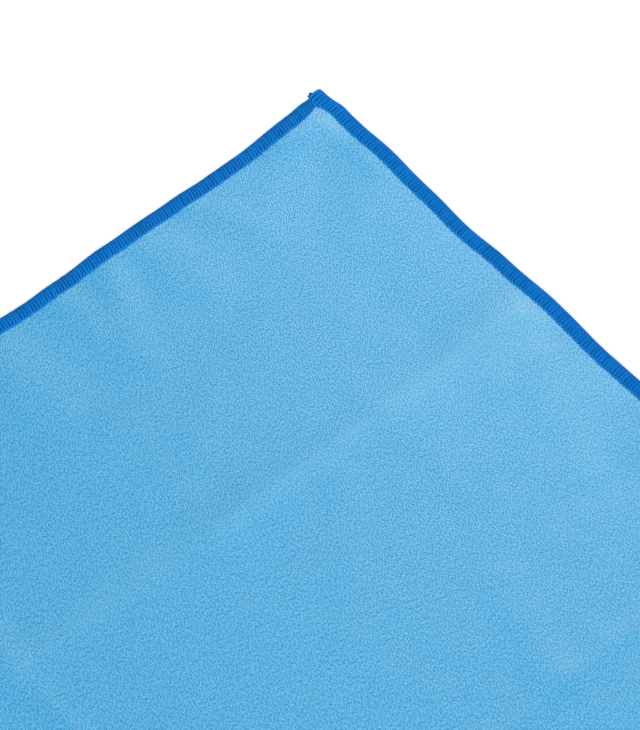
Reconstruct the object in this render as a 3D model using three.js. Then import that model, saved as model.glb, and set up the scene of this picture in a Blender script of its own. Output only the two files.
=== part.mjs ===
// A travel towel: one rectangle of brushed microfibre with an overlocked thread edging on its four
// sides, unfolded from its pack and laid out on a flat surface. It still holds the pack creases, its
// short sides wave where the edging stretched them, and its long sides pucker along the stitches.
//
// Frame: millimetres, +Z up, the origin under the middle of the towel, +X along the long sides.
// Folds are placed by two distances: `along` is measured from the short side at +X, and `across`
// from the long side at +Y, so the corner where both are 0 is the one at +X +Y.
import * as THREE from "three";

// Driving dimensions.
const LONG_SIDE = 800;
const SHORT_SIDE = 400;
const CLOTH_THICKNESS = 1;
const EDGING_WIDTH = 5.3;
const EDGING_THICKNESS = 2.6;
const EDGING_WALL = 0.5;
const RIM_WALL = 1.1;
const RIM_CHAMFER = 0.8;
const GAP = 0.3;

// Pack panels: the towel is folded in four each way, so a crease runs every quarter of a side.
const PANEL_ALONG = LONG_SIDE / 4;
const PANEL_ACROSS = SHORT_SIDE / 4;

// Within this distance of a side the cloth is held level across the edging.
const LEVEL_BORDER = 6;
// From the border the cloth comes down to the surface over this distance.
const BORDER_SLOPE = 40;

// Stations of the facets: close together at the first corner, wider apart over the rest.
const FINE_STEP = 12.5;
const FINE_REACH = 150;
const COARSE_STEP = 25;

const CLOTH_COLOUR = 0x64b3e0;
const THREAD_COLOUR = 0x1873be;

// Folds near the first corner. Each is a ridge along a straight line, with its rise at the two ends,
// and falls to nothing at `reach` from the line. A pressed crest is sharp, and a soft one is round.
const CORNER_FOLDS = [
  { name: "lifted corner", from: [18, 0], to: [8, 3], rise: [1.6, 1.6], reach: 20, crest: "soft" },
  { name: "edge wave 1", from: [0, 26], to: [3, 26], rise: [1.0, 0.9], reach: 20, crest: "soft" },
  { name: "edge wave 2", from: [0, 103], to: [26, 101], rise: [1.1, 0.5], reach: 21, crest: "soft" },
  { name: "edge wave 3", from: [0, 155], to: [10, 157], rise: [0.9, 0.5], reach: 20, crest: "soft" },
  { name: "edge wave 4", from: [0, 203], to: [25, 201], rise: [2.2, 1.0], reach: 30, crest: "soft" },
  { name: "crisp crease", from: [12, 99.5], to: [128, 99], rise: [0.6, 1.2], reach: 17, crest: "pressed" },
  { name: "worn crease", from: [138, 98], to: [200, 97], rise: [0.4, 0.4], reach: 14, crest: "pressed" },
  { name: "middle crease", from: [10, 201], to: [190, 201], rise: [0.4, 0.4], reach: 11, crest: "pressed" },
  { name: "crossing pinch", from: [202, 92], to: [202, 104], rise: [0.2, 0.2], reach: 7, crest: "soft" },
  { name: "first pucker", from: [60, 0], to: [45, 36], rise: [0.5, 0.16], reach: 8, crest: "soft" },
  { name: "second pucker", from: [80, 0], to: [76, 32], rise: [0.65, 0.35], reach: 13, crest: "soft" },
  { name: "third pucker", from: [93, 0], to: [101, 30], rise: [0.5, 0.35], reach: 9, crest: "soft" },
  { name: "fourth pucker", from: [112, 0], to: [106, 40], rise: [0.6, 0.35], reach: 9, crest: "soft" },
  { name: "fifth pucker", from: [142, 0], to: [138, 32], rise: [1.0, 0.6], reach: 18, crest: "soft" },
  { name: "short drag", from: [66, 86], to: [66, 142], rise: [0.14, 0.1], reach: 6, crest: "soft" },
  { name: "long drag", from: [90, 112], to: [122, 152], rise: [0.2, 0.12], reach: 10, crest: "soft" },
  { name: "edge drag", from: [18, 116], to: [34, 156], rise: [0.3, 0.2], reach: 10, crest: "soft" },
  { name: "middle crease spur", from: [86, 198], to: [78, 165], rise: [0.55, 0.3], reach: 11, crest: "soft" },
];

// Where the edging has drawn one of the first corner's two sides in, and how deep. Below 0 it is
// pushed out. The shift fades over the cloth.
const PULLS = [
  { side: "short", at: 67, reach: 16, depth: 0.9 },
  { side: "long", at: 6, reach: 12, depth: -0.9 },
  { side: "long", at: 48, reach: 34, depth: 0.45 },
  { side: "long", at: 80, reach: 13, depth: 0.3 },
  { side: "long", at: 114, reach: 27, depth: 0.7 },
];
const PULL_FADE = 26;

// Where a distance along each side, and a distance in from it, come to as along and across.
const ON_SIDE = {
  shortRight: (place, inward) => [inward, place],
  longBack: (place, inward) => [place, inward],
  shortLeft: (place, inward) => [LONG_SIDE - inward, place],
  longFront: (place, inward) => [place, SHORT_SIDE - inward],
};

// Edge waves and puckers of the other sides, a row of the table for each row of like folds. The
// first fold is at `first` and the rest follow every `step`. Each runs `length` in from its side,
// leans by `lean`, and falls to half its rise there. `stray` and `uneven` are the most that its
// place and its rise differ from the row's, counted on from `strayFrom` and `unevenFrom`.
const FOLD_ROWS = [
  { side: "shortLeft", count: 5, first: 42, step: 78, stray: 9, strayFrom: 0,
    rise: 1.5, uneven: 0.6, unevenFrom: 2, length: 14, lean: 0, reach: 34 },
  { side: "shortRight", count: 2, first: 290, step: 75, stray: 8, strayFrom: 0,
    rise: 1.5, uneven: 0, unevenFrom: 0, length: 16, lean: 0, reach: 34 },
  { side: "longBack", count: 24, first: 156, step: 26, stray: 7, strayFrom: 0,
    rise: 0.65, uneven: 0.25, unevenFrom: 1, length: 26, lean: -6, reach: 10 },
  { side: "longFront", count: 29, first: 26, step: 26, stray: 7, strayFrom: 3,
    rise: 0.65, uneven: 0.25, unevenFrom: 5, length: 24, lean: 5, reach: 10 },
];

// The creases between the other pack panels. They stop short of the panels' corners.
const PACK_CREASE = { rise: 0.7, uneven: 0.25, stray: 1.5, reach: 12, farRise: 0.8, short: 8 };

// A small change that differs from one count to the next, as a sine that never comes round again.
const DRIFT_TURN = 2.4;
const DRIFT_START = 0.7;
function drift(count, amount) {
  return amount * Math.sin(DRIFT_TURN * count + DRIFT_START);
}

function foldRow({ side, count, first, step, stray, strayFrom, rise, uneven, unevenFrom, ...line }) {
  return Array.from({ length: count }, (_, index) => {
    const place = first + step * index + drift(index + strayFrom, stray);
    const height = rise + drift(index + unevenFrom, uneven);
    const from = ON_SIDE[side](place, 0);
    const to = ON_SIDE[side](place + line.lean, line.length);
    return { from, to, rise: [height, height / 2], reach: line.reach, crest: "soft" };
  });
}

function packCreases() {
  const { rise, uneven, stray, reach, farRise, short } = PACK_CREASE;
  const creases = [];
  const addCrease = (from, to, count) => {
    const height = rise + drift(count, uneven);
    creases.push({ from, to, rise: [height, farRise * height], reach, crest: "pressed" });
  };
  for (let line = 1; line <= 3; line += 1) {
    const across = line * PANEL_ACROSS;
    for (let panel = line === 3 ? 0 : 1; panel < 4; panel += 1) {
      const start = [panel * PANEL_ALONG + short, across + drift(panel + line, stray)];
      const end = [(panel + 1) * PANEL_ALONG - short, across + drift(panel - line, stray)];
      addCrease(start, end, 3 * line + panel);
    }
    const along = line * PANEL_ALONG;
    for (let panel = 0; panel < 4; panel += 1) {
      const start = [along + drift(panel + line, stray), panel * PANEL_ACROSS + short];
      const end = [along + drift(panel - line, stray), (panel + 1) * PANEL_ACROSS - short];
      addCrease(start, end, 3 * line - panel);
    }
  }
  return creases;
}

const FOLDS = [...CORNER_FOLDS, ...FOLD_ROWS.flatMap(foldRow), ...packCreases()];

// Height of one fold at a point.
function foldHeight(fold, along, across) {
  const line = [fold.to[0] - fold.from[0], fold.to[1] - fold.from[1]];
  const offset = [along - fold.from[0], across - fold.from[1]];
  const lengthSquared = line[0] ** 2 + line[1] ** 2;
  const share = THREE.MathUtils.clamp((offset[0] * line[0] + offset[1] * line[1]) / lengthSquared, 0, 1);
  const distance = Math.hypot(offset[0] - share * line[0], offset[1] - share * line[1]);
  const fall = Math.min(distance / fold.reach, 1);
  const rise = THREE.MathUtils.lerp(fold.rise[0], fold.rise[1], share);
  return fold.crest === "pressed" ? rise * (1 - fall) ** 2 : (rise * (1 + Math.cos(Math.PI * fall))) / 2;
}

// A distance along a side, held at the side's end inside the level border.
function held(distance, side) {
  if (distance <= LEVEL_BORDER) {
    return 0;
  }
  return distance >= side - LEVEL_BORDER ? side : distance;
}

// Height of the folds, the same for the cloth and for the edging round it.
function lift(along, across) {
  const place = [held(along, LONG_SIDE), held(across, SHORT_SIDE)];
  return FOLDS.reduce((height, fold) => height + foldHeight(fold, ...place), 0);
}

// Middle of the cloth's thickness: level with the edging's middle at the border, and down on the
// surface inside it.
function clothMiddle(along, across) {
  const toSide = Math.min(along, LONG_SIDE - along, across, SHORT_SIDE - across);
  const share = THREE.MathUtils.smoothstep(toSide, LEVEL_BORDER, LEVEL_BORDER + BORDER_SLOPE);
  const resting = THREE.MathUtils.lerp(EDGING_THICKNESS, CLOTH_THICKNESS, share) / 2;
  return resting + lift(along, across);
}

// Facet stations of a side between two end distances.
function stations(side, first, last) {
  const inner = [];
  for (let at = FINE_STEP; at < FINE_REACH; at += FINE_STEP) {
    inner.push(at);
  }
  for (let at = FINE_REACH; at < side; at += COARSE_STEP) {
    inner.push(at);
  }
  return [first, LEVEL_BORDER, ...inner, side - LEVEL_BORDER, last];
}

// How far the pulls of one side move a point in from that side.
function drawnIn(side, place, depth) {
  const pull = PULLS.filter((each) => each.side === side).reduce((sum, { at, reach, depth: deepest }) => {
    const fall = Math.min(Math.abs(place - at) / reach, 1);
    return sum + (deepest * (1 + Math.cos(Math.PI * fall))) / 2;
  }, 0);
  return pull * (1 - THREE.MathUtils.smoothstep(depth, 0, PULL_FADE));
}

function toPart(along, across, height) {
  const x = LONG_SIDE / 2 - along - drawnIn("short", across, along);
  const y = SHORT_SIDE / 2 - across - drawnIn("long", along, across);
  return [x, y, height];
}

// The cloth: a closed sheet of two facet grids and the cut edge that joins them.
function clothGeometry() {
  const cutBack = RIM_WALL + GAP;
  const columns = stations(LONG_SIDE, cutBack, LONG_SIDE - cutBack);
  const rows = stations(SHORT_SIDE, cutBack, SHORT_SIDE - cutBack);
  const points = [];
  for (const face of [-0.5, 0.5]) {
    for (const along of columns) {
      for (const across of rows) {
        points.push(...toPart(along, across, clothMiddle(along, across) + face * CLOTH_THICKNESS));
      }
    }
  }
  const under = (column, row) => column * rows.length + row;
  const upper = (column, row) => under(column, row) + columns.length * rows.length;
  const triangles = [];
  const lastColumn = columns.length - 1;
  const lastRow = rows.length - 1;
  for (let i = 0; i < lastColumn; i += 1) {
    for (let j = 0; j < lastRow; j += 1) {
      triangles.push(upper(i, j), upper(i + 1, j), upper(i + 1, j + 1));
      triangles.push(upper(i, j), upper(i + 1, j + 1), upper(i, j + 1));
      triangles.push(under(i, j), under(i + 1, j + 1), under(i + 1, j));
      triangles.push(under(i, j), under(i, j + 1), under(i + 1, j + 1));
    }
  }
  const cutEdge = (a, b) => {
    triangles.push(under(...a), under(...b), upper(...b));
    triangles.push(under(...a), upper(...b), upper(...a));
  };
  for (let i = 0; i < lastColumn; i += 1) {
    cutEdge([i, 0], [i + 1, 0]);
    cutEdge([i + 1, lastRow], [i, lastRow]);
  }
  for (let j = 0; j < lastRow; j += 1) {
    cutEdge([0, j + 1], [0, j]);
    cutEdge([lastColumn, j], [lastColumn, j + 1]);
  }
  const geometry = new THREE.BufferGeometry();
  geometry.setAttribute("position", new THREE.Float32BufferAttribute(points, 3));
  geometry.setIndex(triangles);
  return geometry;
}

// Section of the edging: a channel that grips the cloth, x inward from the rim, y up from its middle.
function edgingSection() {
  const outer = EDGING_THICKNESS / 2;
  const slot = outer - EDGING_WALL;
  return new THREE.Shape([
    new THREE.Vector2(0, RIM_CHAMFER - outer),
    new THREE.Vector2(RIM_CHAMFER, -outer),
    new THREE.Vector2(EDGING_WIDTH, -outer),
    new THREE.Vector2(EDGING_WIDTH, -slot),
    new THREE.Vector2(RIM_WALL, -slot),
    new THREE.Vector2(RIM_WALL, slot),
    new THREE.Vector2(EDGING_WIDTH, slot),
    new THREE.Vector2(EDGING_WIDTH, outer),
    new THREE.Vector2(RIM_CHAMFER, outer),
    new THREE.Vector2(0, outer - RIM_CHAMFER),
  ]);
}

// One run of edging, from station to station of its side.
function edgingGeometry(places, side) {
  const steps = places.length - 1;
  const geometry = new THREE.ExtrudeGeometry(edgingSection(), { depth: steps, steps, bevelEnabled: false });
  const position = geometry.getAttribute("position");
  for (let index = 0; index < position.count; index += 1) {
    const station = places[Math.round(position.getZ(index))];
    const [along, across] = ON_SIDE[side](station, position.getX(index));
    const height = EDGING_THICKNESS / 2 + position.getY(index) + lift(along, across);
    position.setXYZ(index, ...toPart(along, across, height));
  }
  return geometry;
}

// The short runs go right over the corners. The long runs stop short of them.
const SHORT_RUN = stations(SHORT_SIDE, 0, SHORT_SIDE);
const LONG_RUN_END = EDGING_WIDTH + GAP;
const LONG_RUN = stations(LONG_SIDE, LONG_RUN_END, LONG_SIDE - LONG_RUN_END);

const EDGING_RUNS = [
  { name: "overlock_short_right", side: "shortRight", places: [...SHORT_RUN].reverse() },
  { name: "overlock_long_back", side: "longBack", places: LONG_RUN },
  { name: "overlock_short_left", side: "shortLeft", places: SHORT_RUN },
  { name: "overlock_long_front", side: "longFront", places: [...LONG_RUN].reverse() },
];

function piece(name, geometry, colour, roughness) {
  const material = new THREE.MeshStandardMaterial({ color: colour, roughness, metalness: 0 });
  const mesh = new THREE.Mesh(geometry, material);
  mesh.name = name;
  return mesh;
}

const towel = new THREE.Group();
towel.add(piece("cloth", clothGeometry(), CLOTH_COLOUR, 0.95));
for (const run of EDGING_RUNS) {
  towel.add(piece(run.name, edgingGeometry(run.places, run.side), THREAD_COLOUR, 0.7));
}

export default towel;
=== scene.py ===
"""Makes a travel towel: brushed microfibre with an overlocked thread edging on its four sides.

The towel lies on a surface as it was unfolded from its pack. It still holds the pack creases, its
short sides wave where the edging stretched them, and its long sides pucker along the stitches.

Tables and towel functions are in millimetres. `along` is measured from the short side at +X and
`across` from the long side at +Y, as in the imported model. `placed` turns them into metres.
"""

import math
import random
from collections import namedtuple

import bmesh
import bpy
import numpy as np
from bpy.props import FloatProperty, FloatVectorProperty, IntProperty, PointerProperty
from mathutils import Euler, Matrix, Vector


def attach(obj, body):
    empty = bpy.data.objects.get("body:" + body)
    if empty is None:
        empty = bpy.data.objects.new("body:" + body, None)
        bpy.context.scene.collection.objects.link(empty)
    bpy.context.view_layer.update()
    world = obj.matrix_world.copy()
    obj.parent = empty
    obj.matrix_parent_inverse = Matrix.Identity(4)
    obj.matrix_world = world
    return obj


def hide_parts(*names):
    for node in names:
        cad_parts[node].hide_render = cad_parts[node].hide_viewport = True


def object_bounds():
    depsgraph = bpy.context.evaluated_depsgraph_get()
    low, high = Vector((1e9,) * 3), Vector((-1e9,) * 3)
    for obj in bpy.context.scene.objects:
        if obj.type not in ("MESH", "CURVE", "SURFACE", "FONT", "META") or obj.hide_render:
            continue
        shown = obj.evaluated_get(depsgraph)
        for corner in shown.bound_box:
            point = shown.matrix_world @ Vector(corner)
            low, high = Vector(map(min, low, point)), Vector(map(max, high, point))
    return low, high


bl_info = {
    "name": "Travel Towel",
    "version": (1, 0, 0),
    "blender": (4, 5, 0),
    "location": "3D View > Sidebar > Towel",
    "description": "Makes a brushed microfibre towel with an overlocked thread edging",
    "category": "Add Mesh",
}

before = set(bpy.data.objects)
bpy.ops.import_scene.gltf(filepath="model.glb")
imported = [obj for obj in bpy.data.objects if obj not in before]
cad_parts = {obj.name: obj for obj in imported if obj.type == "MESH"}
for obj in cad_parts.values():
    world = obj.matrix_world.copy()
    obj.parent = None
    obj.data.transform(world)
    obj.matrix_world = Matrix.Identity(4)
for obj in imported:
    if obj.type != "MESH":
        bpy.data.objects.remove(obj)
CAD_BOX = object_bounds()

MM = 0.001

# The towel's outline.
LONG_SIDE = 800
SHORT_SIDE = 400

CLOTH_THICKNESS = 1.0
EDGING_WIDTH = 5.3
EDGING_THICKNESS = 2.6
CUT_BACK = 1.4

# Pack panels: the towel is folded in four each way, so a crease runs every quarter of a side.
PANEL_ALONG = LONG_SIDE / 4
PANEL_ACROSS = SHORT_SIDE / 4

# The cloth is level across the edging up to LEVEL_BORDER, and takes up its folds by FOLDS_FROM.
LEVEL_BORDER = 5.5
FOLDS_FROM = 12.0
# From the edging the cloth comes down to the surface over this distance.
BORDER_SLOPE = 40.0
# How far from a pressed crest its nap is painted paler, as worn nap and a painted highlight.
WORN_AND_HIGHLIGHT_REACH = 6.5

Fold = namedtuple("Fold", "start end rise reach crest")

# Folds near the first corner. Each is a ridge along a straight line, with its rise at the two ends,
# and falls to nothing at `reach` from the line. A pressed crest is sharp, and a soft one is round.
CORNER_FOLDS = {
    "lifted corner": Fold((18, 0), (8, 3), (1.6, 1.6), 20, "soft"),
    "edge wave 1": Fold((0, 26), (3, 26), (1.0, 0.9), 20, "soft"),
    "edge wave 2": Fold((0, 103), (26, 101), (1.1, 0.5), 21, "soft"),
    "edge wave 3": Fold((0, 155), (10, 157), (0.9, 0.5), 20, "soft"),
    "edge wave 4": Fold((0, 203), (25, 201), (2.2, 1.0), 30, "soft"),
    "crisp crease": Fold((12, 99.5), (128, 99), (0.6, 1.2), 17, "pressed"),
    "worn crease": Fold((138, 98), (200, 97), (0.4, 0.4), 14, "pressed"),
    "middle crease": Fold((10, 201), (190, 201), (0.4, 0.4), 11, "pressed"),
    "crossing pinch": Fold((202, 92), (202, 104), (0.2, 0.2), 7, "soft"),
    "first pucker": Fold((60, 0), (45, 36), (0.5, 0.16), 8, "soft"),
    "second pucker": Fold((80, 0), (76, 32), (0.65, 0.35), 13, "soft"),
    "third pucker": Fold((93, 0), (101, 30), (0.5, 0.35), 9, "soft"),
    "fourth pucker": Fold((112, 0), (106, 40), (0.6, 0.35), 9, "soft"),
    "fifth pucker": Fold((142, 0), (138, 32), (1.0, 0.6), 18, "soft"),
    "short drag": Fold((66, 86), (66, 142), (0.14, 0.1), 6, "soft"),
    "long drag": Fold((90, 112), (122, 152), (0.2, 0.12), 10, "soft"),
    "edge drag": Fold((18, 116), (34, 156), (0.3, 0.2), 10, "soft"),
    "middle crease spur": Fold((86, 198), (78, 165), (0.55, 0.3), 11, "soft"),
}
# Painted highlights: patches beside those creases where the nap is painted paler to stand in for
# light, given like folds, with the paleness in place of the rise.
PAINTED_HIGHLIGHTS = (
    Fold((12, 106), (50, 104), (3.8, 0.9), 19, "soft"),
    Fold((20, 124), (34, 165), (1.2, 1.2), 22, "soft"),
    Fold((36, 101.8), (132, 101.4), (1.6, 0.9), 6, "soft"),
    Fold((134, 96), (200, 96), (1.0, 1.0), 9, "soft"),
)

# Edge waves and puckers of the other sides, an entry for each row of like folds. The first fold is
# at `first` and the rest follow every `step`. Each runs `length` in from its side, leans by `lean`,
# and falls to half its rise there. `stray` and `uneven` are the most that its place and its rise
# differ from the row's, counted on from `stray_from` and `uneven_from`.
FoldRow = namedtuple(
    "FoldRow", "side count first step stray stray_from rise uneven uneven_from length lean reach"
)
FOLD_ROWS = (
    FoldRow("short_left", 5, 42, 78, 9, 0, 1.5, 0.6, 2, 14, 0, 34),
    FoldRow("short_right", 2, 290, 75, 8, 0, 1.5, 0, 0, 16, 0, 34),
    FoldRow("long_back", 24, 156, 26, 7, 0, 0.65, 0.25, 1, 26, -6, 10),
    FoldRow("long_front", 29, 26, 26, 7, 3, 0.65, 0.25, 5, 24, 5, 10),
)
DRIFT_TURN = 2.4
DRIFT_START = 0.7

# The creases between the other pack panels. They stop short of the panels' corners.
CREASE_RISE = 0.7
CREASE_UNEVEN = 0.25
CREASE_STRAY = 1.5
CREASE_REACH = 12
CREASE_FAR_RISE = 0.8
CREASE_SHORT = 8

# How each short run of edging ends at a corner: it veers in from the side by `veer`, runs past the
# long side by `past`, and leaves a thread tail of `tail`.
CornerEnd = namedtuple("CornerEnd", "along across veer past tail")
CORNER_ENDS = (
    CornerEnd(0, 0, veer=1.8, past=0.5, tail=0.3),
    CornerEnd(0, SHORT_SIDE, veer=0.7, past=0.7, tail=2.4),
    CornerEnd(LONG_SIDE, 0, veer=1.1, past=0.8, tail=3.1),
    CornerEnd(LONG_SIDE, SHORT_SIDE, veer=0.5, past=0.9, tail=1.8),
)
# Where the edging has drawn one of the first corner's two sides in, and how deep. Below 0 it is
# pushed out.
Pull = namedtuple("Pull", "side at reach depth")
PULLS = (
    Pull("short", 67, 16, 0.9),
    Pull("long", 6, 12, -0.9),
    Pull("long", 48, 34, 0.45),
    Pull("long", 80, 13, 0.3),
    Pull("long", 114, 27, 0.7),
)
PULL_FADE = 26.0
VEER_REACH = 10.0
VEER_FADE = 17.0
LAP_RISE = 1.4
LAP_REACH = 6.0

# The camera looks at VIEW_AIM from this azimuth and elevation, in degrees, and distance, in metres.
VIEW_AIM = Vector((0.3323, 0.1247, 0.0013))
VIEW_FROM = (-130.9, 56.6)
VIEW_DISTANCE = 1.1836
# The lamps are set for this spot of the cloth.
LIT_SPOT = Vector((0.3323, 0.1247, 0.0))

# One thread of a stitch, followed round the edging: distance in from the outer edge, height above
# the edging's middle, and how far the thread has moved along the side.
ThreadPoint = namedtuple("ThreadPoint", "inward height along")
LOOPER_THREAD = (
    ThreadPoint(5.40, 0.34, 0.00),
    ThreadPoint(4.90, 0.64, 0.10),
    ThreadPoint(4.00, 0.94, 0.30),
    ThreadPoint(2.80, 1.03, 0.50),
    ThreadPoint(1.55, 0.98, 0.66),
    ThreadPoint(0.70, 0.70, 0.73),
    ThreadPoint(0.28, 0.08, 0.76),
    ThreadPoint(0.60, -0.66, 0.73),
    ThreadPoint(1.90, -1.00, 0.62),
    ThreadPoint(4.10, -0.94, 0.25),
    ThreadPoint(5.15, -0.52, 0.04),
)
# The two threads of a stitch part by this share of a stitch on either side, and gather by this
# much towards the needle's hole, from this far in.
THREADS_PART = 0.228
THREADS_GATHER = 0.118
GATHER_FROM = 2.2
# How much of that movement along the side the threads of a short and of a long run have. Below 0
# they lean the other way.
SHORT_LEAN = 0.6
LONG_LEAN = -1.2
# The needle's thread, from one hole to the next, in shares of the stitch length.
NEEDLE_LINE = 4.86
NEEDLE_THREAD = ((-0.1, 0.28), (0.2, 0.76), (0.8, 0.76), (1.1, 0.28))
# The threads packed under the loops, as a closed section round the cloth's cut edge.
CORE_SECTION = (
    (4.95, 0.42), (4.20, 0.68), (1.40, 0.78), (0.62, 0.52), (0.48, 0.00),
    (0.62, -0.52), (1.40, -0.78), (4.20, -0.68), (4.95, -0.42), (1.20, 0.00),
)
# A short run rounds off over END_ROUND at its ends. There it narrows towards END_CENTRE of its
# width, and flattens, by these shares.
END_ROUND = 1.5
END_CENTRE = 0.25
END_NARROWING = 0.5
END_FLATTENING = 0.25
# A long run narrows by this share over END_TUCK.
END_TUCK = 7.0
TUCK_NARROWING = 0.22
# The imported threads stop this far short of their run's ends.
CORE_SHORT = 0.5

# A trimmed thread end, for a tail of no length: distance past the run's end, distance in from the
# outer edge, and height. A longer tail moves each point past and in by these shares of its length.
TailPoint = namedtuple("TailPoint", "past inward height past_share inward_share")
THREAD_TAIL = (
    TailPoint(-1.2, 3.0, 0.5, 0.0, 0.0),
    TailPoint(-0.4, 3.3, 0.6, 0.0, 0.0),
    TailPoint(0.1, 3.6, 0.3, 0.0, 0.0),
    TailPoint(0.2, 3.9, -0.4, 0.5, 0.0),
    TailPoint(0.2, 3.9, -0.9, 1.0, 0.25),
)
# Thickness of the needle's thread and of a trimmed end, against a looper's thread.
NEEDLE_THINNESS = 0.6
TAIL_THICKNESS = 1.6
# Sides of a looper's thread and of the needle's.
LOOPER_SIDES = 5
NEEDLE_SIDES = 4

# The cloth's unevenness: the length of its waves, that of its shorter waves and their share of the
# height, and how far in from the edging it grows to its full height.
UNEVEN_PERIOD = 17
SHORTER_PERIOD = 8
SHORTER_SHARE = 0.45
UNEVEN_FADE = 8
# The length of the waves in which the edging wanders from a straight line.
WANDER_PERIOD = 23
# The waves of a ripple are from this to this times its period long.
RIPPLE_LENGTHS = (0.7, 1.6)
# A face near a pack crease is at most its distance from the crease over this.
CREASE_STEPS = 3

# Depth of the nap's relief, as a share of a clump's size.
NAP_DEPTH = 0.5
# Broader changes of the nap's tone: tufts of so many clumps, and patches and clouds of these sizes
# in metres, each with its share of the tone.
TUFT_CLUMPS, TUFT_SHARE = 3, 0.02
PATCH_SIZE, PATCH_SHARE = 0.011, 0.04
CLOUD_SIZE, CLOUD_SHARE = 0.045, 0.03
# The same for the thread: its fibres and its patches. The rest of its tone is each stitch's own.
FIBRE_SIZE, FIBRE_SHARE = 0.00022, 0.45
THREAD_PATCH_SIZE, THREAD_PATCH_SHARE = 0.0045, 0.30
# The middle of a noise's range, which is spread over a whole tone.
NOISE_MIDDLE = (0.3, 0.7)

# The bake map: the margin at its sides, where each face's half starts and how high it is, and the
# rim's two lines between the halves.
MAP_MARGIN = 0.002
MAP_UPPER, MAP_UNDER, MAP_HALF = 0.530, 0.005, 0.465
MAP_RIM = (0.51, 0.49)

# The floor's glow to the camera near the towel and far off, and the distances, in metres, between
# which it changes. The floor lies this far under the towel, in metres.
GLOW = (0.45, 1.0)
GLOW_REACH = (0.6, 1.8)
FLOOR_DROP = 0.0003

# Each run of edging: where it starts and the two directions it is laid in, as (along, across).
# The runs follow one another round the towel, with the cloth on their left.
Run = namedtuple("Run", "start heading inward")
RUNS = {
    "overlock_short_right": Run((0, SHORT_SIDE), (0, -1), (1, 0)),
    "overlock_long_back": Run((0, 0), (1, 0), (0, 1)),
    "overlock_short_left": Run((LONG_SIDE, 0), (0, 1), (-1, 0)),
    "overlock_long_front": Run((LONG_SIDE, SHORT_SIDE), (-1, 0), (0, -1)),
}


# ---------------------------------------------------------------------------------------------
# The towel's lie


def drift(count, amount):
    """A small change that differs from one count to the next."""
    return amount * math.sin(DRIFT_TURN * count + DRIFT_START)


def on_side(side, place, inward):
    """The along and across distances of a place on a side, some way in from it."""
    return {
        "short_right": (inward, place),
        "long_back": (place, inward),
        "short_left": (LONG_SIDE - inward, place),
        "long_front": (place, SHORT_SIDE - inward),
    }[side]


def fold_row(row):
    """A row of like folds that start at one side of the towel."""
    folds = []
    for count in range(row.count):
        place = row.first + row.step * count + drift(count + row.stray_from, row.stray)
        rise = row.rise + drift(count + row.uneven_from, row.uneven)
        start = on_side(row.side, place, 0)
        end = on_side(row.side, place + row.lean, row.length)
        folds.append(Fold(start, end, (rise, rise / 2), row.reach, "soft"))
    return folds


def pack_creases():
    """The creases between the other pack panels."""
    creases = []

    def add_crease(start, end, count):
        rise = CREASE_RISE + drift(count, CREASE_UNEVEN)
        creases.append(Fold(start, end, (rise, CREASE_FAR_RISE * rise), CREASE_REACH, "pressed"))

    def over_panel(panel, size):
        return panel * size + CREASE_SHORT, (panel + 1) * size - CREASE_SHORT

    for line in range(1, 4):
        for panel in range(0 if line == 3 else 1, 4):
            near, far = over_panel(panel, PANEL_ALONG)
            first, last = (drift(panel + way, CREASE_STRAY) for way in (line, -line))
            across = line * PANEL_ACROSS
            add_crease((near, across + first), (far, across + last), 3 * line + panel)
        for panel in range(4):
            near, far = over_panel(panel, PANEL_ACROSS)
            first, last = (drift(panel + way, CREASE_STRAY) for way in (line, -line))
            along = line * PANEL_ALONG
            add_crease((along + first, near), (along + last, far), 3 * line - panel)
    return creases


FOLDS = [
    *CORNER_FOLDS.values(),
    *(fold for row in FOLD_ROWS for fold in fold_row(row)),
    *pack_creases(),
]


def smooth_share(value, low, high):
    """0 at or below `low`, 1 at or above `high`, and an eased share between."""
    share = np.clip((value - low) / (high - low), 0, 1)
    return share * share * (3 - 2 * share)


def fold_height(fold, along, across):
    """Height of one fold at each point."""
    (a0, c0), (a1, c1) = fold.start, fold.end
    run_a, run_c = a1 - a0, c1 - c0
    share = ((along - a0) * run_a + (across - c0) * run_c) / (run_a**2 + run_c**2)
    share = np.clip(share, 0, 1)
    distance = np.hypot(along - a0 - share * run_a, across - c0 - share * run_c)
    fall = np.minimum(distance / fold.reach, 1)
    rise = fold.rise[0] + (fold.rise[1] - fold.rise[0]) * share
    if fold.crest == "pressed":
        return rise * (1 - fall) ** 2
    return rise * (1 + np.cos(np.pi * fall)) / 2


def held(distance, side):
    """A distance along a side, held at the side's end inside the level border."""
    near = distance * smooth_share(distance, LEVEL_BORDER, FOLDS_FROM)
    rest = side - distance
    far = side - rest * smooth_share(rest, LEVEL_BORDER, FOLDS_FROM)
    return np.where(distance < side / 2, near, far)


def lift(along, across):
    """Height of the folds at each point, the same for the cloth and for its edging."""
    along, across = held(along, LONG_SIDE), held(across, SHORT_SIDE)
    return sum(fold_height(fold, along, across) for fold in FOLDS)


def crest_wear_and_highlight(along, across):
    """Paleness of the nap: worn nap and painted highlight on pressed crests, painted highlights
    beside them.
    """
    wear_and_highlight = np.zeros_like(along)
    for fold in FOLDS:
        if fold.crest == "pressed":
            wear_and_highlight = np.maximum(wear_and_highlight, fold_height(fold._replace(reach=WORN_AND_HIGHLIGHT_REACH), along, across))
    # The painted highlight patches beside the creases add to the paleness.
    return wear_and_highlight + sum(fold_height(highlight_patch, along, across) for highlight_patch in PAINTED_HIGHLIGHTS)


def to_side(along, across):
    """Distance of each point from the towel's nearest side."""
    nearest = np.minimum(along, LONG_SIDE - along)
    return np.minimum(nearest, np.minimum(across, SHORT_SIDE - across))


def cloth_middle(along, across):
    """Height of the middle of the cloth's thickness."""
    inside = smooth_share(to_side(along, across), LEVEL_BORDER, LEVEL_BORDER + BORDER_SLOPE)
    resting = EDGING_THICKNESS + (CLOTH_THICKNESS - EDGING_THICKNESS) * inside
    return resting / 2 + lift(along, across)


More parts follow.
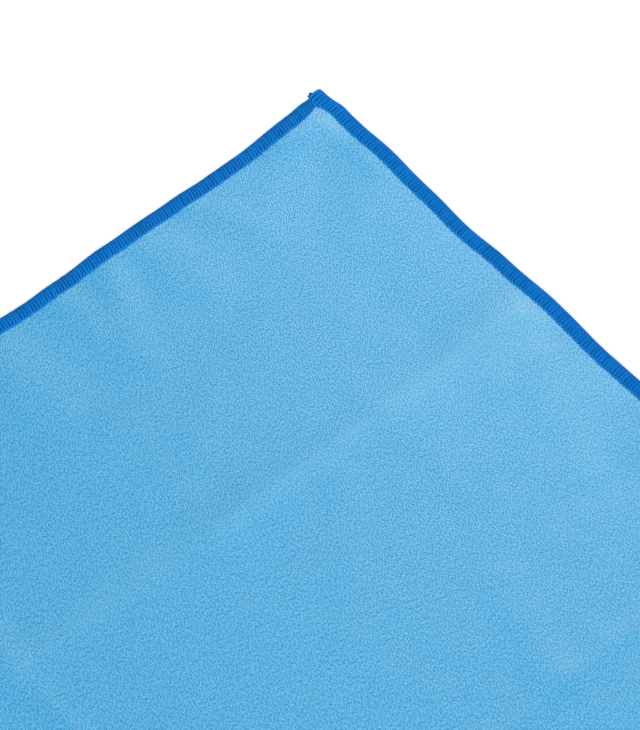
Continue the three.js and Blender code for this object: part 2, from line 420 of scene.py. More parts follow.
def veered(along, across, over_run=False):
    """`along`, moved in where a short side veers at its ends. The shift fades over the cloth."""
    shift = np.zeros_like(along)
    for corner in CORNER_ENDS:
        inward = 1 if corner.along == 0 else -1
        from_end = np.abs(across - corner.across)
        beyond = (across < 0) | (across > SHORT_SIDE)
        near = 1 - smooth_share(np.where(beyond, 0, from_end), 0, VEER_REACH)
        if not over_run:
            near = near * (1 - smooth_share(np.abs(along - corner.along), 0, VEER_FADE))
        else:
            near = near * (np.abs(along - corner.along) < LONG_SIDE / 2)
        shift += inward * corner.veer * near
    return along + shift


def drawn_in(along, across):
    """Both distances, moved in where the edging draws a side in. The shift fades over the cloth."""
    shifts = {"short": np.zeros_like(along), "long": np.zeros_like(along)}
    for pull in PULLS:
        place, depth = (across, along) if pull.side == "short" else (along, across)
        near = (1 + np.cos(np.pi * np.minimum(np.abs(place - pull.at) / pull.reach, 1))) / 2
        shifts[pull.side] += pull.depth * near * (1 - smooth_share(depth, 0, PULL_FADE))
    return along + shifts["short"], across + shifts["long"]


def placed(along, across, height):
    """Points of the towel in metres, in the model's frame."""
    along, across = drawn_in(along, across)
    columns = (LONG_SIDE / 2 - along, SHORT_SIDE / 2 - across, height)
    return np.column_stack([column.ravel() for column in columns]) * MM


def ripple(x, y, period, seed, waves=14):
    """Uneven relief of about one unit either way, with waves near `period` long."""
    draw = random.Random(seed)
    total = np.zeros_like(x)
    for _ in range(waves):
        turn, phase = draw.uniform(0, math.tau), draw.uniform(0, math.tau)
        length = period * draw.uniform(*RIPPLE_LENGTHS)
        total += np.sin(math.tau * (x * math.cos(turn) + y * math.sin(turn)) / length + phase)
    return total / math.sqrt(waves)


# ---------------------------------------------------------------------------------------------
# Meshes, nodes and materials


def make_object(name, points, faces, material=None):
    """A mesh object at the origin, linked to the scene."""
    mesh = bpy.data.meshes.new(name)
    mesh.from_pydata(points, [], faces)
    mesh.shade_smooth()
    if material:
        mesh.materials.append(material)
    made = bpy.data.objects.new(name, mesh)
    bpy.context.scene.collection.objects.link(made)
    return made


def add_node(tree, kind, inputs=None, **settings):
    """A new node. `inputs` maps a socket's name or number to a value or to a socket to link."""
    node = tree.nodes.new(kind)
    for key, value in settings.items():
        setattr(node, key, value)
    for key, value in (inputs or {}).items():
        if isinstance(value, bpy.types.NodeSocket):
            tree.links.new(value, node.inputs[key])
        else:
            node.inputs[key].default_value = value
    return node


def new_material(name):
    """A material with an empty Principled shader. Returns the material, its tree and the shader."""
    material = bpy.data.materials.new(name)
    material.use_nodes = True
    tree = material.node_tree
    shader = next(node for node in tree.nodes if node.type == "BSDF_PRINCIPLED")
    return material, tree, shader


def grain(tree, spot, size, flat=False, **noise):
    """Noise of about `size` metres a grain, from 0 to 1. Flat noise is the same at any height."""
    inputs = {"Vector": spot, "Scale": 1 / size, **noise}
    dimensions = "2D" if flat else "3D"
    node = add_node(tree, "ShaderNodeTexNoise", inputs, noise_dimensions=dimensions)
    return node.outputs["Fac"]


def spread(tree, noise):
    """Stretches the middle of a noise's range over 0 to 1."""
    inputs = {"Value": noise, "From Min": NOISE_MIDDLE[0], "From Max": NOISE_MIDDLE[1]}
    return add_node(tree, "ShaderNodeMapRange", inputs).outputs["Result"]


def mix_values(tree, share, first, second):
    """A mix of two numbers."""
    return add_node(tree, "ShaderNodeMix", {0: share, 2: first, 3: second}).outputs[0]


def blend_colours(tree, share, first, second):
    """A mix of two colours."""
    inputs = {0: share, 6: first, 7: second}
    return add_node(tree, "ShaderNodeMix", inputs, data_type="RGBA").outputs[2]


def opaque(colour):
    """A colour property with an alpha of 1."""
    return (*colour, 1.0)


def microfibre_material(settings):
    """Suede-brushed microfibre: a fine nap in two tones that lies one way, with a soft sheen."""
    material, tree, shader = new_material("brushed microfibre")
    place = add_node(tree, "ShaderNodeTexCoord").outputs["Object"]
    lie = add_node(
        tree,
        "ShaderNodeMapping",
        {
            "Vector": place,
            "Rotation": (0, 0, settings.nap_turn),
            "Scale": (1, settings.nap_stretch, 1),
        },
        vector_type="TEXTURE",
    ).outputs["Vector"]
    nap = grain(tree, lie, settings.nap_size, flat=True, Detail=0.0)
    tufts = grain(tree, place, settings.nap_size * TUFT_CLUMPS, flat=True, Detail=1.0)
    patches = grain(tree, place, PATCH_SIZE, Detail=2.0)
    clouds = grain(tree, place, CLOUD_SIZE, Detail=1.0)
    tone = spread(tree, nap)
    for share, broader in ((TUFT_SHARE, tufts), (PATCH_SHARE, patches), (CLOUD_SHARE, clouds)):
        tone = mix_values(tree, share, tone, spread(tree, broader))
    colour = blend_colours(tree, tone, opaque(settings.deep_tone), opaque(settings.pale_tone))
    # The worn tone is painted on pressed crests as worn nap and a painted highlight, and on the
    # patches beside them as a painted highlight.
    wear_and_highlight = add_node(tree, "ShaderNodeAttribute", attribute_name="worn_nap_and_highlight").outputs["Fac"]
    wear_and_highlight_share = add_node(tree, "ShaderNodeMath", {0: wear_and_highlight, 1: settings.crest_wear_and_highlight}, operation="MULTIPLY")
    colour = blend_colours(tree, wear_and_highlight_share.outputs[0], colour, opaque(settings.worn_and_highlight_tone))
    tree.links.new(colour, shader.inputs["Base Color"])
    depth = settings.nap_size * NAP_DEPTH
    relief = {"Strength": settings.nap_relief, "Distance": depth, "Height": tone}
    bump = add_node(tree, "ShaderNodeBump", relief)
    tree.links.new(bump.outputs["Normal"], shader.inputs["Normal"])
    shader.inputs["Roughness"].default_value = 0.45
    shader.inputs["Specular IOR Level"].default_value = 1.0
    shader.inputs["Sheen Weight"].default_value = settings.sheen
    shader.inputs["Sheen Roughness"].default_value = 0.5
    return material


def thread_material(settings):
    """Textured polyester thread, each stitch a little paler or deeper than the next."""
    material, tree, shader = new_material("edging thread")
    place = add_node(tree, "ShaderNodeTexCoord").outputs["Object"]
    tone = add_node(tree, "ShaderNodeAttribute", attribute_name="stitch_tone").outputs["Fac"]
    packed_shade_mask = add_node(tree, "ShaderNodeAttribute", attribute_name="shaded_packed_thread").outputs["Fac"]
    fibres = grain(tree, place, FIBRE_SIZE, Detail=2.0, Roughness=0.6)
    patches = grain(tree, place, THREAD_PATCH_SIZE, Detail=1.0)
    shade = mix_values(tree, FIBRE_SHARE, tone, spread(tree, fibres))
    shade = mix_values(tree, THREAD_PATCH_SHARE, shade, spread(tree, patches))
    colour = blend_colours(tree, shade, opaque(settings.deep_thread), opaque(settings.pale_thread))
    # The packed threads are coloured darker than the stitches, as painted shade in the gaps between
    # them.
    colour = blend_colours(tree, packed_shade_mask, colour, opaque(settings.shaded_packed_thread))
    tree.links.new(colour, shader.inputs["Base Color"])
    bump = add_node(
        tree, "ShaderNodeBump", {"Strength": 0.6, "Distance": 0.00012, "Height": fibres}
    )
    tree.links.new(bump.outputs["Normal"], shader.inputs["Normal"])
    shader.inputs["Roughness"].default_value = 0.5
    shader.inputs["Specular IOR Level"].default_value = 0.12
    return material


# ---------------------------------------------------------------------------------------------
# The cloth


def stations(side, panel, settings):
    """Distances across the towel, close together near the first corner and at the pack creases."""
    places = [CUT_BACK]
    while places[-1] < side - CUT_BACK:
        at = places[-1]
        widest = settings.fine_step if at * MM < settings.fine_reach else settings.coarse_step
        to_crease = abs(at - panel * round(at / panel))
        finest = max(to_crease / CREASE_STEPS, settings.crest_step / MM)
        places.append(at + min(finest, widest / MM))
    places[-1] = side - CUT_BACK
    return np.array(places)


def cloth_faces(columns, rows):
    """Corner numbers of the upper face, the underside and the cut edge, in that order."""
    number = np.arange(columns * rows).reshape(columns, rows)
    a, b = number[:-1, :-1].ravel(), number[1:, :-1].ravel()
    c, d = number[1:, 1:].ravel(), number[:-1, 1:].ravel()
    upper = np.column_stack([a, b, c, d])
    under = upper[:, ::-1] + columns * rows
    rim = np.concatenate([number[:, 0], number[-1, 1:], number[-2::-1, -1], number[0, -2:0:-1]])
    following = np.roll(rim, -1)
    edge = np.column_stack([rim, rim + columns * rows, following + columns * rows, following])
    return np.concatenate([upper, under, edge])


def add_bake_map(mesh, along, across, face_count):
    """A map with the upper face in its upper half, the underside below, and the rim between."""
    corners = np.empty(len(mesh.loops), np.int64)
    mesh.loops.foreach_get("vertex_index", corners)
    points = along.size
    place = corners % points
    u = MAP_MARGIN + (1 - 2 * MAP_MARGIN) * along.ravel()[place] / LONG_SIDE
    v = across.ravel()[place] / SHORT_SIDE
    loop_face = np.repeat(np.arange(len(mesh.polygons)), 4)
    on_upper = loop_face < face_count
    on_rim = loop_face >= 2 * face_count
    v = np.where(on_upper, MAP_UPPER, MAP_UNDER) + MAP_HALF * v
    rim_u = (loop_face - 2 * face_count + np.isin(np.arange(v.size) % 4, (2, 3))) / (
        len(mesh.polygons) - 2 * face_count
    )
    u = np.where(on_rim, rim_u, u)
    v = np.where(on_rim, np.where(corners < points, *MAP_RIM), v)
    layer = mesh.uv_layers.new(name="OFBake")
    layer.data.foreach_set("uv", np.column_stack([u, v]).astype(np.float32).ravel())


def build_cloth(settings):
    """A closed sheet on the towel's folds, with the nap's soft unevenness on its upper face."""
    columns = stations(LONG_SIDE, PANEL_ALONG, settings)
    rows = stations(SHORT_SIDE, PANEL_ACROSS, settings)
    along, across = np.meshgrid(columns, rows, indexing="ij")
    middle = cloth_middle(along, across)
    half = settings.thickness / MM / 2
    free = smooth_share(to_side(along, across), EDGING_WIDTH, EDGING_WIDTH + UNEVEN_FADE)
    relief = ripple(along, across, UNEVEN_PERIOD, seed=3)
    relief = relief + SHORTER_SHARE * ripple(along, across, SHORTER_PERIOD, seed=8)
    relief = free * settings.unevenness / MM * (relief + 1)
    moved = veered(along, across)
    upper = placed(moved, across, middle + half + relief)
    under = placed(moved, across, middle - half)
    faces = cloth_faces(len(columns), len(rows))
    material = microfibre_material(settings)
    cloth = make_object("microfibre_cloth", np.concatenate([upper, under]), faces, material)
    add_bake_map(cloth.data, along, across, (len(columns) - 1) * (len(rows) - 1))
    # The paleness painted on the nap, as worn nap and painted highlight.
    wear_and_highlight = cloth.data.attributes.new("worn_nap_and_highlight", "FLOAT", "POINT")
    wear_and_highlight.data.foreach_set("value", np.tile(crest_wear_and_highlight(along, across).ravel(), 2))
    return cloth


# ---------------------------------------------------------------------------------------------
# The edging


def thread_tube(line, radius, sides, closed):
    """Points and faces of a round thread along a line of points."""
    line = [Vector(point) for point in line]
    count = len(line)
    points, faces = [], []
    for i, point in enumerate(line):
        before = line[i - 1] if closed or i else line[0]
        after = line[(i + 1) % count] if closed or i < count - 1 else line[-1]
        heading = (after - before).normalized()
        across = Vector((1, 0, 0)) if abs(heading.x) < 0.8 else Vector((0, 1, 0))
        across = (across - heading * across.dot(heading)).normalized()
        out = heading.cross(across)
        for k in range(sides):
            turn = math.tau * (k + 0.5) / sides
            offset = across * math.cos(turn) + out * math.sin(turn)
            points.append(point + offset * radius)
    for i in range(count if closed else count - 1):
        for k in range(sides):
            near, far = i * sides, (i + 1) % count * sides
            step = (k + 1) % sides
            faces.append((near + k, near + step, far + step, far + k))
    if not closed:
        faces.append(tuple(range(sides))[::-1])
        faces.append(tuple(range((count - 1) * sides, count * sides)))
    return points, faces


def joined(parts):
    """Points and faces of several meshes as one."""
    points, faces = [], []
    for part_points, part_faces in parts:
        faces += [tuple(corner + len(points) for corner in face) for face in part_faces]
        points += part_points
    return points, faces


def turn_faces_out(mesh):
    """Makes every closed shell of a mesh face outwards."""
    shape = bmesh.new()
    shape.from_mesh(mesh)
    bmesh.ops.recalc_face_normals(shape, faces=shape.faces)
    shape.to_mesh(mesh)
    shape.free()


def stitch_object(settings, pitch, lean):
    """One stitch, lying along +X with the cloth towards +Y: two looper threads and a needle thread.

    The two looper threads part at the outer edge and come together at the needle's hole.
    """
    radius = settings.thread_radius
    parts = []
    for side in (-1, 1):
        line = []
        for spot in LOOPER_THREAD:
            inner = float(smooth_share(spot.inward, GATHER_FROM, EDGING_WIDTH))
            shift = side * (THREADS_PART - THREADS_GATHER * inner) * pitch
            line.append((shift + lean * spot.along * MM, spot.inward * MM, spot.height * MM))
        parts.append(thread_tube(line, radius, LOOPER_SIDES, closed=True))
    needle = [(share * pitch, NEEDLE_LINE * MM, height * MM) for share, height in NEEDLE_THREAD]
    parts.append(thread_tube(needle, radius * NEEDLE_THINNESS, NEEDLE_SIDES, closed=False))
    stitch = make_object("one stitch", *joined(parts))
    turn_faces_out(stitch.data)
    return stitch


def stitch_row_tree():
    """Geometry Nodes that repeat one stitch along a straight row, each a little different."""
    tree = bpy.data.node_groups.new("stitch row", "GeometryNodeTree")
    sockets = (
        ("Stitch", "NodeSocketObject"),
        ("Stitches", "NodeSocketInt"),
        ("Stitch length", "NodeSocketFloat"),
        ("Slant", "NodeSocketFloat"),
        ("Stretch", "NodeSocketFloat"),
        ("Seed", "NodeSocketInt"),
        ("Thread", "NodeSocketMaterial"),
    )
    for name, kind in sockets:
        tree.interface.new_socket(name, in_out="INPUT", socket_type=kind)
    tree.interface.new_socket("Row", in_out="OUTPUT", socket_type="NodeSocketGeometry")
    given = tree.nodes.new("NodeGroupInput").outputs

    def worked_out(first, second, operation):
        node = add_node(tree, "ShaderNodeMath", {0: first, 1: second}, operation=operation)
        return node.outputs[0]

    def vector(**parts):
        return add_node(tree, "ShaderNodeCombineXYZ", parts).outputs[0]

    def chance(low, high, seed):
        inputs = {0: low, 1: high, "Seed": seed}
        node = add_node(tree, "FunctionNodeRandomValue", inputs, data_type="FLOAT_VECTOR")
        return node.outputs[0]

    step = vector(X=given["Stitch length"])
    holes = add_node(
        tree, "GeometryNodeMeshLine", {"Count": given["Stitches"], "Offset": step}, mode="OFFSET"
    ).outputs["Mesh"]
    stitch = add_node(tree, "GeometryNodeObjectInfo", {"Object": given["Stitch"]})
    turn_back = vector(Z=worked_out(given["Slant"], -1.0, "MULTIPLY"))
    turn = chance(turn_back, vector(Z=given["Slant"]), given["Seed"])
    low, high = (worked_out(1.0, given["Stretch"], way) for way in ("SUBTRACT", "ADD"))
    size_seed = add_node(
        tree, "FunctionNodeIntegerMath", {0: given["Seed"], 1: 1}, operation="ADD"
    ).outputs[0]
    size = chance(vector(X=1.0, Y=low, Z=low), vector(X=1.0, Y=high, Z=high), size_seed)
    row = add_node(
        tree,
        "GeometryNodeInstanceOnPoints",
        {"Points": holes, "Instance": stitch.outputs["Geometry"], "Rotation": turn, "Scale": size},
    ).outputs["Instances"]
    tone = add_node(
        tree, "FunctionNodeRandomValue", {"Seed": given["Seed"]}, data_type="FLOAT"
    ).outputs[1]
    toned = add_node(
        tree,
        "GeometryNodeStoreNamedAttribute",
        {"Geometry": row, "Name": "stitch_tone", "Value": tone},
        data_type="FLOAT",
        domain="INSTANCE",
    ).outputs["Geometry"]
    real = add_node(tree, "GeometryNodeRealizeInstances", {"Geometry": toned}).outputs[0]
    threaded = add_node(
        tree, "GeometryNodeSetMaterial", {"Geometry": real, "Material": given["Thread"]}
    ).outputs[0]
    add_node(tree, "NodeGroupOutput", {"Row": threaded})
    return tree


def stitch_row(name, tree, stitch, pitch, material, settings, length, seed):
    """A straight row of stitches from 0 to `length` along +X, as a plain mesh object."""
    holder = make_object(name, [], [])
    modifier = holder.modifiers.new("stitches", "NODES")
    modifier.node_group = tree
    values = {
        "Stitch": stitch,
        "Stitches": round(length * MM / pitch),
        "Stitch length": pitch,
        "Slant": settings.slant_jitter,
        "Stretch": settings.stretch_jitter,
        "Seed": seed,
        "Thread": material,
    }
    for item in tree.interface.items_tree:
        if item.in_out == "INPUT":
            modifier[item.identifier] = values[item.name]
    holder.update_tag()
    depsgraph = bpy.context.evaluated_depsgraph_get()
    mesh = bpy.data.meshes.new_from_object(holder.evaluated_get(depsgraph), depsgraph=depsgraph)
    mesh.name = name
    empty = holder.data
    holder.modifiers.remove(modifier)
    holder.data = mesh
    bpy.data.meshes.remove(empty)
    return holder


def core_strip(first, last, step=3.0):
    """The threads packed under the loops, as a closed strip along +X between two distances."""
    section = len(CORE_SECTION)
    at = np.linspace(first, last, round((last - first) / step) + 1)
    points, faces = [], []
    for x in at:
        points += [Vector((x * MM, inward * MM, height * MM)) for inward, height in CORE_SECTION]
    for i in range(len(at) - 1):
        for k in range(section):
            near, far, step_on = i * section, (i + 1) * section, (k + 1) % section
            faces.append((near + k, near + step_on, far + step_on, far + k))
    faces.append(tuple(range(section))[::-1])
    faces.append(tuple(range((len(at) - 1) * section, len(at) * section)))
    return points, faces


def thread_tail(at, way, length, radius):
    """The end of the threads, trimmed off just past a short run's end, with a small knot."""
    line = []
    for point in THREAD_TAIL:
        past = at + way * (point.past + point.past_share * length)
        inward = point.inward + point.inward_share * length
        line.append((past * MM, inward * MM, point.height * MM))
    return thread_tube(line, radius, LOOPER_SIDES, closed=False)


def add_parts(mesh, parts, attribute):
    """Joins plain parts to a mesh. The attribute is 1 on the first of them and 0 elsewhere."""
    before = len(mesh.vertices)
    added = bpy.data.meshes.new("added")
    points, faces = joined(parts)
    added.from_pydata(points, [], faces)
    added.shade_smooth()
    turn_faces_out(added)
    shape = bmesh.new()
    shape.from_mesh(mesh)
    shape.from_mesh(added)
    shape.to_mesh(mesh)
    shape.free()
    bpy.data.meshes.remove(added)
    marks = np.zeros(len(mesh.vertices))
    marks[before : before + len(parts[0][0])] = 1
    mesh.attributes.new(attribute, "FLOAT", "POINT").data.foreach_set("value", marks)


def lay_run(run, distance, inward, height, over_corners):
    """Points of a straight run, laid on its side of the towel and lifted onto its folds."""
    if over_corners:
        to_end = np.minimum(distance, SHORT_SIDE - distance)
        rounding = np.clip((END_ROUND - to_end) / (2 * END_ROUND), 0, 1) ** 2
        middle = EDGING_WIDTH * END_CENTRE
        inward = middle + (inward - middle) * (1 - END_NARROWING * rounding)
        height = height + LAP_RISE * (1 - smooth_share(to_end, 0, LAP_REACH)) * (height > 0)
        height = height * (1 - END_FLATTENING * rounding)
    else:
        to_end = np.minimum(distance, LONG_SIDE - distance) - EDGING_WIDTH
        inward = inward * (1 - TUCK_NARROWING * (1 - smooth_share(to_end, 0, END_TUCK)))
    along = run.start[0] + run.heading[0] * distance + run.inward[0] * inward
    across = run.start[1] + run.heading[1] * distance + run.inward[1] * inward
    level = EDGING_THICKNESS / 2 + lift(along, np.clip(across, 0, SHORT_SIDE))
    return placed(veered(along, across, over_run=over_corners), across, level + height)


def build_run(name, run, tree, material, settings, seed):
    """One run of edging: its row of stitches, its core and its thread ends, laid along its side."""
    over_corners = run.heading[0] == 0
    if over_corners:
        begins, ends = sorted(
            (corner for corner in CORNER_ENDS if corner.along == run.start[0]),
            key=lambda corner: corner.across != run.start[1],
        )
        first, last = -begins.past, SHORT_SIDE + ends.past
        pitch, lean = settings.short_pitch, SHORT_LEAN
    else:
        first, last = EDGING_WIDTH, LONG_SIDE - EDGING_WIDTH
        pitch, lean = settings.long_pitch, LONG_LEAN
    length = last - first
    stitch = stitch_object(settings, pitch, lean)
    name = name.replace("overlock", "stitches")
    piece = stitch_row(name, tree, stitch, pitch, material, settings, length, seed)
    bpy.data.objects.remove(stitch)
    parts = [core_strip(CORE_SHORT, length - CORE_SHORT)]
    if over_corners:
        radius = settings.thread_radius * TAIL_THICKNESS
        parts.append(thread_tail(0, -1, begins.tail, radius))
        parts.append(thread_tail(length, 1, ends.tail, radius))
    # The core is marked for its darker colour, painted shade between the stitches.
    add_parts(piece.data, parts, "shaded_packed_thread")
    piece.data.materials.clear()
    piece.data.materials.append(material)
    piece.data.polygons.foreach_set("material_index", np.zeros(len(piece.data.polygons), np.int32))
    points = np.empty(len(piece.data.vertices) * 3)
    piece.data.vertices.foreach_get("co", points)
    distance, inward, height = points.reshape(-1, 3).T / MM
    distance = distance + first
    inward = inward + settings.wander / MM * ripple(distance, distance * 0, WANDER_PERIOD, seed)
    laid = lay_run(run, distance, inward, height, over_corners)
    piece.data.vertices.foreach_set("co", laid.astype(np.float32).ravel())
    piece.data.update()
    return piece


# ---------------------------------------------------------------------------------------------
# Settings, operators and panel


class TowelClothSettings(bpy.types.PropertyGroup):
    """Sizes and colours of the cloth."""

    thickness: FloatProperty(
        name="Thickness",
        description="Thickness of the brushed cloth",
        default=CLOTH_THICKNESS * MM,
        min=0.0005,
        unit="LENGTH",
    )
    unevenness: FloatProperty(
        name="Unevenness",
        description="Height of the soft unevenness of the upper face",
        default=0.05 * MM,
        min=0,
        unit="LENGTH",
    )
    fine_reach: FloatProperty(
        name="Fine reach",
        description="How far from the first corner the mesh is fine",
        default=0.215,
        unit="LENGTH",
    )
    fine_step: FloatProperty(
        name="Fine step",
        description="Size of a face near the first corner",
        default=0.0019,
        unit="LENGTH",
    )
    coarse_step: FloatProperty(
        name="Coarse step",
        description="Size of a face over the rest of the towel",
        default=0.0050,
        unit="LENGTH",
    )
    crest_step: FloatProperty(
        name="Crest step",
        description="Size of a face on the crest of a pack crease",
        default=0.0009,
        unit="LENGTH",
    )
    pale_tone: FloatVectorProperty(
        name="Pale tone",
        description="Colour of the nap where it stands up",
        default=(0.103, 0.543, 0.885),
        subtype="COLOR",
        min=0,
        max=1,
    )
    deep_tone: FloatVectorProperty(
        name="Deep tone",
        description="Colour of the nap where it is pressed down",
        default=(0.0, 0.304, 0.649),
        subtype="COLOR",
        min=0,
        max=1,
    )
    # Painted as worn nap and a painted highlight on pressed crests, and as painted highlights
    # beside them.
    worn_and_highlight_tone: FloatVectorProperty(
        name="Worn tone",
        description="Colour of nap that a fold has worn",
        default=(0.29, 0.68, 0.93),
        subtype="COLOR",
        min=0,
        max=1,
    )
    # How much of that pale tone is painted, as worn nap and painted highlight.
    crest_wear_and_highlight: FloatProperty(
        name="Crest wear",
        description="How much of the worn tone shows on a crease's crest",
        default=0.06,
        subtype="FACTOR",
    )
    nap_size: FloatProperty(
        name="Nap size",
        description="Size of one clump of the nap",
        default=0.00042,
        unit="LENGTH",
    )
    nap_stretch: FloatProperty(
        name="Nap stretch",
        description="How much longer a clump is than it is wide",
        default=1.85,
        subtype="FACTOR",
    )
    nap_turn: FloatProperty(
        name="Nap direction",
        description="How far the nap's lie turns from the short sides' direction",
        default=math.radians(-19),
        unit="ROTATION",
    )
    nap_relief: FloatProperty(
        name="Nap relief",
        description="Strength of the nap's relief",
        default=0.3,
        subtype="FACTOR",
    )
    sheen: FloatProperty(
        name="Sheen",
        description="How much pale light the fibre ends give back",
        default=0.02,
        subtype="FACTOR",
    )


class TowelEdgingSettings(bpy.types.PropertyGroup):
    """Sizes and colours of the overlocked edging."""

    long_pitch: FloatProperty(
        name="Long sides' stitch",
        description="Distance from one stitch to the next along a long side",
        default=1.07 * MM,
        min=0.0005,
        unit="LENGTH",
    )
    short_pitch: FloatProperty(
        name="Short sides' stitch",
        description="Distance from one stitch to the next along a short side",
        default=1.165 * MM,
        min=0.0005,
        unit="LENGTH",
    )
    thread_radius: FloatProperty(
        name="Thread radius",
        description="Radius of the textured thread as it lies",
        default=0.27 * MM,
        min=0.0001,
        unit="LENGTH",
    )
    slant_jitter: FloatProperty(
        name="Slant jitter",
        description="How far a stitch turns from its neighbours",
        default=math.radians(1.4),
        unit="ROTATION",
    )
    stretch_jitter: FloatProperty(
        name="Stretch jitter",
        description="How much a stitch's width differs from its neighbours'",
        default=0.02,
        subtype="FACTOR",
    )
    wander: FloatProperty(
        name="Wander",
        description="How far the edging wanders from a straight line",
        default=0.12 * MM,
        unit="LENGTH",
    )
    pale_thread: FloatVectorProperty(
        name="Pale thread",
        description="Colour of the palest stitches",
        default=(0.003, 0.255, 0.810),
        subtype="COLOR",
        min=0,
        max=1,
    )
    deep_thread: FloatVectorProperty(
        name="Deep thread",
        description="Colour of the deepest stitches",
        default=(0.0, 0.172, 0.550),
        subtype="COLOR",
        min=0,
        max=1,
    )
    # Darker than the stitches: painted shade in the gaps between them.
    shaded_packed_thread: FloatVectorProperty(
        name="Packed thread",
        description="Colour of the threads seen between the stitches",
        default=(0.0, 0.118, 0.41),
        subtype="COLOR",
        min=0,
        max=1,
    )
    seed: IntProperty(
        name="Seed",
        description="Start of the random differences between stitches",
        default=11,
    )


class TowelStageSettings(bpy.types.PropertyGroup):
    """Light, floor and camera."""

    floor_half: FloatProperty(
        name="Floor half width",
        description="Half the width of the floor",
        default=14.0,
        unit="LENGTH",
    )
    sky: FloatProperty(
        name="Surround light",
        description="Strength of the even light from all round",
        default=0.29,
    )
    key_light: FloatProperty(
        name="Key light",
        description="Light on white cloth from the large lamp on the camera's side",
        default=0.427,
    )
    sheen_light: FloatProperty(
        name="Sheen light",
        description="Light on white cloth from the small lamp beyond the short side at +X",
        default=0.265,
    )
    lens: FloatProperty(
        name="Lens",
        description="Focal length of the camera",
        default=197.26,
        unit="CAMERA",
    )


class TOWEL_OT_cloth(bpy.types.Operator):
    """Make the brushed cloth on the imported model's folds"""

    bl_idname = "towel.cloth"
    bl_label = "Make cloth"

    def execute(self, context):
        cloth = build_cloth(context.scene.towel_cloth)
        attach(cloth, "root")
        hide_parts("cloth")
        return {"FINISHED"}


class TOWEL_OT_edging(bpy.types.Operator):
    bl_idname = "towel.edging"
    bl_label = "Make edging"

    def execute(self, context):
        settings = context.scene.towel_edging
        tree = stitch_row_tree()
        material = thread_material(settings)
        for count, (node, run) in enumerate(RUNS.items()):
            seed = settings.seed + 10 * count
            piece = build_run(node, run, tree, material, settings, seed)
            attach(piece, "root")
            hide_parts(node)
        return {"FINISHED"}


def floor_material():
    """White paper that keeps the towel's shadow and shows as white to the camera."""
    material, tree, shader = new_material("white paper")
    shader.inputs["Base Color"].default_value = (0.9, 0.9, 0.9, 1)
    shader.inputs["Roughness"].default_value = 1.0
    shader.inputs["Specular IOR Level"].default_value = 0.0
    shader.inputs["Emission Color"].default_value = (1, 1, 1, 1)
    place = add_node(tree, "ShaderNodeTexCoord").outputs["Object"]
    distance = add_node(tree, "ShaderNodeVectorMath", {0: place}, operation="LENGTH")
    glow = add_node(
        tree,
        "ShaderNodeMapRange",
        {
            "Value": distance.outputs["Value"],
            "From Min": GLOW_REACH[0],
            "From Max": GLOW_REACH[1],
            "To Min": GLOW[0],
            "To Max": GLOW[1],
        },
        interpolation_type="SMOOTHSTEP",
    )
    seen = add_node(tree, "ShaderNodeLightPath")
    strength = add_node(
        tree,
        "ShaderNodeMath",
        {0: seen.outputs["Is Camera Ray"], 1: glow.outputs["Result"]},
        operation="MULTIPLY",
    )
    tree.links.new(strength.outputs[0], shader.inputs["Emission Strength"])
    return material


def build_world(strength):
    """An even white surround, which the camera sees as white."""
    world = bpy.data.worlds.new("studio")
    world.use_nodes = True
    tree = world.node_tree
    sky = next(node for node in tree.nodes if node.type == "BACKGROUND")
    sky.inputs["Color"].default_value = (1, 1, 1, 1)
    seen = add_node(tree, "ShaderNodeLightPath").outputs
    level = add_node(tree, "ShaderNodeMix", {0: seen["Is Camera Ray"], 2: strength, 3: 1.0})
    tree.links.new(level.outputs[0], sky.inputs["Strength"])
    bpy.context.scene.world = world


def toward(azimuth, elevation):
    """A direction. Azimuth turns from +X to +Y and elevation rises from the floor, in degrees."""
    turn, rise = math.radians(azimuth), math.radians(elevation)
    level = math.cos(rise)
    return Vector((level * math.cos(turn), level * math.sin(turn), math.sin(rise)))


def add_lamp(name, light, azimuth, elevation, distance, size):
    """A square lamp turned to the first corner, which gives `light` there on level white cloth."""
    lamp = bpy.data.lights.new(name, "AREA")
    direction = toward(azimuth, elevation)
    lamp.energy = light * (math.pi * distance) ** 2 / direction.z
    lamp.size = size
    made = bpy.data.objects.new(name, lamp)
    made.location = LIT_SPOT + direction * distance
    made.rotation_euler = direction.to_track_quat("Z", "Y").to_euler()
    bpy.context.scene.collection.objects.link(made)


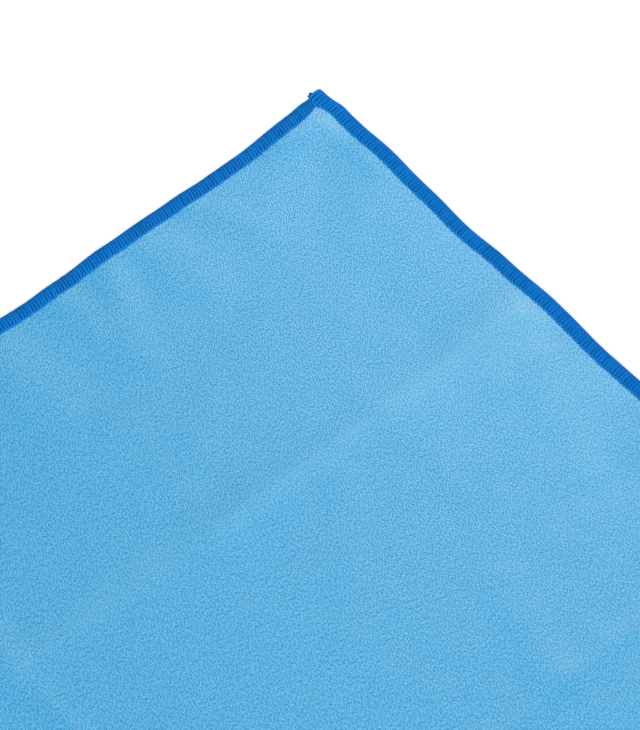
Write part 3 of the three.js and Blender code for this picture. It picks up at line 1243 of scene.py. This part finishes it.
class TOWEL_OT_stage(bpy.types.Operator):
    """Make the floor, the light and the camera"""

    bl_idname = "towel.stage"
    bl_label = "Make stage"

    def execute(self, context):
        settings = context.scene.towel_stage
        half = settings.floor_half
        corners = [(-half, -half), (half, -half), (half, half), (-half, half)]
        points = [(x, y, CAD_BOX[0].z - FLOOR_DROP) for x, y in corners]
        floor = make_object("floor", points, [(0, 1, 2, 3)], floor_material())
        build_world(settings.sky)
        add_lamp("key", settings.key_light, azimuth=-135, elevation=33, distance=1.7, size=0.8)
        add_lamp("sheen", settings.sheen_light, azimuth=27, elevation=40, distance=0.85, size=0.3)
        camera = bpy.data.cameras.new("camera")
        camera.sensor_width = 36
        camera.lens = settings.lens
        camera.clip_start, camera.clip_end = 0.05, 60
        view = bpy.data.objects.new("camera", camera)
        back = toward(*VIEW_FROM)
        view.location = VIEW_AIM + back * VIEW_DISTANCE
        tilt, turn = 90 - VIEW_FROM[1], VIEW_FROM[0] + 90
        view.rotation_euler = Euler((math.radians(tilt), 0, math.radians(turn)))
        context.scene.collection.objects.link(view)
        context.scene.camera = view
        context.scene.view_settings.view_transform = "Standard"
        return {"FINISHED"}


class TOWEL_PT_sidebar(bpy.types.Panel):
    """Lists the towel's settings and operators"""

    bl_label = "Travel Towel"
    bl_idname = "TOWEL_PT_sidebar"
    bl_space_type = "VIEW_3D"
    bl_region_type = "UI"
    bl_category = "Towel"

    def draw(self, context):
        for group, operator in (
            (context.scene.towel_cloth, TOWEL_OT_cloth),
            (context.scene.towel_edging, TOWEL_OT_edging),
            (context.scene.towel_stage, TOWEL_OT_stage),
        ):
            box = self.layout.box()
            for name in group.__annotations__:
                box.prop(group, name)
            box.operator(operator.bl_idname)


CLASSES = (
    TowelClothSettings,
    TowelEdgingSettings,
    TowelStageSettings,
    TOWEL_OT_cloth,
    TOWEL_OT_edging,
    TOWEL_OT_stage,
    TOWEL_PT_sidebar,
)


def register():
    for cls in CLASSES:
        bpy.utils.register_class(cls)
    bpy.types.Scene.towel_cloth = PointerProperty(type=TowelClothSettings)
    bpy.types.Scene.towel_edging = PointerProperty(type=TowelEdgingSettings)
    bpy.types.Scene.towel_stage = PointerProperty(type=TowelStageSettings)


def unregister():
    del bpy.types.Scene.towel_stage
    del bpy.types.Scene.towel_edging
    del bpy.types.Scene.towel_cloth
    for cls in reversed(CLASSES):
        bpy.utils.unregister_class(cls)


def main():
    """Makes the towel and its stage."""
    register()
    bpy.ops.towel.cloth()
    bpy.ops.towel.edging()
    bpy.ops.towel.stage()


if __name__ == "__main__":
    main()
